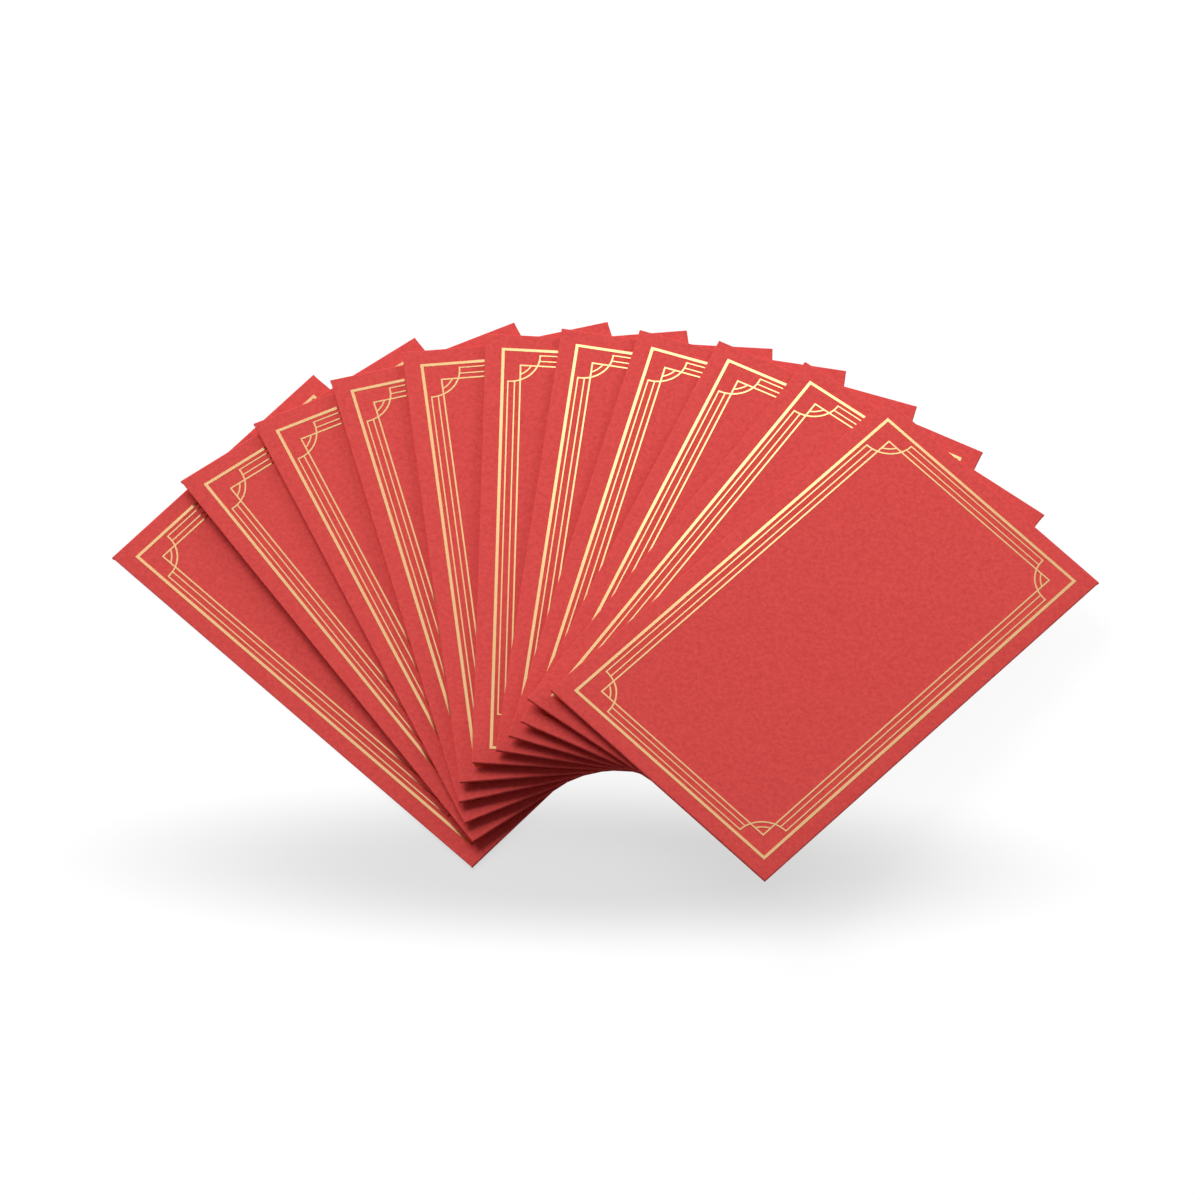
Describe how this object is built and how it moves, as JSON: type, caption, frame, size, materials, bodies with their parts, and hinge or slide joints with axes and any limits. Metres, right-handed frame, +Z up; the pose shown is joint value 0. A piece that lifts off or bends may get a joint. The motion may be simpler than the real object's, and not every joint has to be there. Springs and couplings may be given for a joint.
{
  "type": "gift money envelope",
  "caption": "Fan of flat red paper money envelopes with gold foil line borders, each with an open pocket and a closing flap that turns on its crease.",
  "frame": {"origin": "centre of the fan's footprint on the table", "axes": "+Z up from the table, +X to the right along the fan's spread, +Y from the pivot side to the crease ends"},
  "size_m": [0.3388, 0.2264, 0.0307],
  "materials": {
    "red_paper": "uncoated red card with a fine felt texture",
    "gold_foil": "gold hot-stamping foil, satin metallic"
  },
  "bodies": {
    "envelope_01": {"envelope_01_front_panel": "red_paper", "envelope_01_back_panel": "red_paper", "envelope_01_foil_frame": "gold_foil", "envelope_01_foil_motif": "gold_foil"},
    "flap_01": {"envelope_01_closing_flap": "red_paper"},
    "envelope_02": {"envelope_02_front_panel": "red_paper", "envelope_02_back_panel": "red_paper", "envelope_02_foil_frame": "gold_foil", "envelope_02_foil_motif": "gold_foil"},
    "flap_02": {"envelope_02_closing_flap": "red_paper"},
    "envelope_03": {"envelope_03_front_panel": "red_paper", "envelope_03_back_panel": "red_paper", "envelope_03_foil_frame": "gold_foil", "envelope_03_foil_motif": "gold_foil"},
    "flap_03": {"envelope_03_closing_flap": "red_paper"},
    "envelope_04": {"envelope_04_front_panel": "red_paper", "envelope_04_back_panel": "red_paper", "envelope_04_foil_frame": "gold_foil", "envelope_04_foil_motif": "gold_foil"},
    "flap_04": {"envelope_04_closing_flap": "red_paper"},
    "envelope_05": {"envelope_05_front_panel": "red_paper", "envelope_05_back_panel": "red_paper", "envelope_05_foil_frame": "gold_foil", "envelope_05_foil_motif": "gold_foil"},
    "flap_05": {"envelope_05_closing_flap": "red_paper"},
    "envelope_06": {"envelope_06_front_panel": "red_paper", "envelope_06_back_panel": "red_paper", "envelope_06_foil_frame": "gold_foil", "envelope_06_foil_motif": "gold_foil"},
    "flap_06": {"envelope_06_closing_flap": "red_paper"},
    "envelope_07": {"envelope_07_front_panel": "red_paper", "envelope_07_back_panel": "red_paper", "envelope_07_foil_frame": "gold_foil", "envelope_07_foil_motif": "gold_foil"},
    "flap_07": {"envelope_07_closing_flap": "red_paper"},
    "envelope_08": {"envelope_08_front_panel": "red_paper", "envelope_08_back_panel": "red_paper", "envelope_08_foil_frame": "gold_foil", "envelope_08_foil_motif": "gold_foil"},
    "flap_08": {"envelope_08_closing_flap": "red_paper"},
    "envelope_09": {"envelope_09_front_panel": "red_paper", "envelope_09_back_panel": "red_paper", "envelope_09_foil_frame": "gold_foil", "envelope_09_foil_motif": "gold_foil"},
    "flap_09": {"envelope_09_closing_flap": "red_paper"},
    "envelope_10": {"envelope_10_front_panel": "red_paper", "envelope_10_back_panel": "red_paper", "envelope_10_foil_frame": "gold_foil", "envelope_10_foil_motif": "gold_foil"},
    "flap_10": {"envelope_10_closing_flap": "red_paper"},
    "envelope_11": {"envelope_11_front_panel": "red_paper", "envelope_11_back_panel": "red_paper", "envelope_11_foil_frame": "gold_foil", "envelope_11_foil_motif": "gold_foil"},
    "flap_11": {"envelope_11_closing_flap": "red_paper"}
  },
  "joints": [
    {"name": "flap_01_hinge", "type": "hinge", "parent": "envelope_01", "child": "flap_01", "pos_m": [-0.13496, 0.05505, 0.00056], "axis": [0.6805, 0.7328, 0], "range_deg": [0, 180]},
    {"name": "envelope_02_lift", "type": "slide", "parent": "envelope_01", "child": "envelope_02", "axis": [0, 0, 1], "range_m": [0, 0.12]},
    {"name": "flap_02_hinge", "type": "hinge", "parent": "envelope_02", "child": "flap_02", "pos_m": [-0.10603, 0.07654, 0.00315], "axis": [0.8012, 0.5979, -0.024], "range_deg": [0, 180]},
    {"name": "envelope_03_lift", "type": "slide", "parent": "envelope_02", "child": "envelope_03", "axis": [0, 0, 1], "range_m": [0, 0.12]},
    {"name": "flap_03_hinge", "type": "hinge", "parent": "envelope_03", "child": "flap_03", "pos_m": [-0.07645, 0.09071, 0.00455], "axis": [0.9, 0.4353, -0.024], "range_deg": [0, 180]},
    {"name": "envelope_04_lift", "type": "slide", "parent": "envelope_03", "child": "envelope_04", "axis": [0, 0, 1], "range_m": [0, 0.12]},
    {"name": "flap_04_hinge", "type": "hinge", "parent": "envelope_04", "child": "flap_04", "pos_m": [-0.04714, 0.09928, 0.00594], "axis": [0.9631, 0.2679, -0.024], "range_deg": [0, 180]},
    {"name": "envelope_05_lift", "type": "slide", "parent": "envelope_04", "child": "envelope_05", "axis": [0, 0, 1], "range_m": [0, 0.12]},
    {"name": "flap_05_hinge", "type": "hinge", "parent": "envelope_05", "child": "flap_05", "pos_m": [-0.02103, 0.10298, 0.00728], "axis": [0.992, 0.1236, -0.024], "range_deg": [0, 180]},
    {"name": "envelope_06_lift", "type": "slide", "parent": "envelope_05", "child": "envelope_06", "axis": [0, 0, 1], "range_m": [0, 0.12]},
    {"name": "flap_06_hinge", "type": "hinge", "parent": "envelope_06", "child": "flap_06", "pos_m": [0.00833, 0.10303, 0.00856], "axis": [0.9994, -0.0236, -0.024], "range_deg": [0, 180]},
    {"name": "envelope_07_lift", "type": "slide", "parent": "envelope_06", "child": "envelope_07", "axis": [0, 0, 1], "range_m": [0, 0.12]},
    {"name": "flap_07_hinge", "type": "hinge", "parent": "envelope_07", "child": "flap_07", "pos_m": [0.03419, 0.09957, 0.00974], "axis": [0.9909, -0.1328, -0.024], "range_deg": [0, 180]},
    {"name": "envelope_08_lift", "type": "slide", "parent": "envelope_07", "child": "envelope_08", "axis": [0, 0, 1], "range_m": [0, 0.12]},
    {"name": "flap_08_hinge", "type": "hinge", "parent": "envelope_08", "child": "flap_08", "pos_m": [0.05985, 0.09213, 0.01104], "axis": [0.963, -0.2685, -0.024], "range_deg": [0, 180]},
    {"name": "envelope_09_lift", "type": "slide", "parent": "envelope_08", "child": "envelope_09", "axis": [0, 0, 1], "range_m": [0, 0.12]},
    {"name": "flap_09_hinge", "type": "hinge", "parent": "envelope_09", "child": "flap_09", "pos_m": [0.08476, 0.08083, 0.01237], "axis": [0.9131, -0.407, -0.0239], "range_deg": [0, 180]},
    {"name": "envelope_10_lift", "type": "slide", "parent": "envelope_09", "child": "envelope_10", "axis": [0, 0, 1], "range_m": [0, 0.12]},
    {"name": "flap_10_hinge", "type": "hinge", "parent": "envelope_10", "child": "flap_10", "pos_m": [0.10988, 0.06423, 0.01382], "axis": [0.8211, -0.5703, -0.0239], "range_deg": [0, 180]},
    {"name": "envelope_11_lift", "type": "slide", "parent": "envelope_10", "child": "envelope_11", "axis": [0, 0, 1], "range_m": [0, 0.12]},
    {"name": "flap_11_hinge", "type": "hinge", "parent": "envelope_11", "child": "flap_11", "pos_m": [0.13286, 0.04367, 0.01511], "axis": [0.7229, -0.6906, -0.0239], "range_deg": [0, 180]}
  ],
  "couplings": [
    {"joint": "flap_02_hinge", "follows": "envelope_02_lift", "rad_per_m": 26.1},
    {"joint": "flap_03_hinge", "follows": "envelope_03_lift", "rad_per_m": 26.1},
    {"joint": "flap_04_hinge", "follows": "envelope_04_lift", "rad_per_m": 26.1},
    {"joint": "flap_05_hinge", "follows": "envelope_05_lift", "rad_per_m": 26.1},
    {"joint": "flap_06_hinge", "follows": "envelope_06_lift", "rad_per_m": 26.1},
    {"joint": "flap_07_hinge", "follows": "envelope_07_lift", "rad_per_m": 26.1},
    {"joint": "flap_08_hinge", "follows": "envelope_08_lift", "rad_per_m": 26.1},
    {"joint": "flap_09_hinge", "follows": "envelope_09_lift", "rad_per_m": 26.1},
    {"joint": "flap_10_hinge", "follows": "envelope_10_lift", "rad_per_m": 26.1},
    {"joint": "flap_11_hinge", "follows": "envelope_11_lift", "rad_per_m": 26.1}
  ]
}
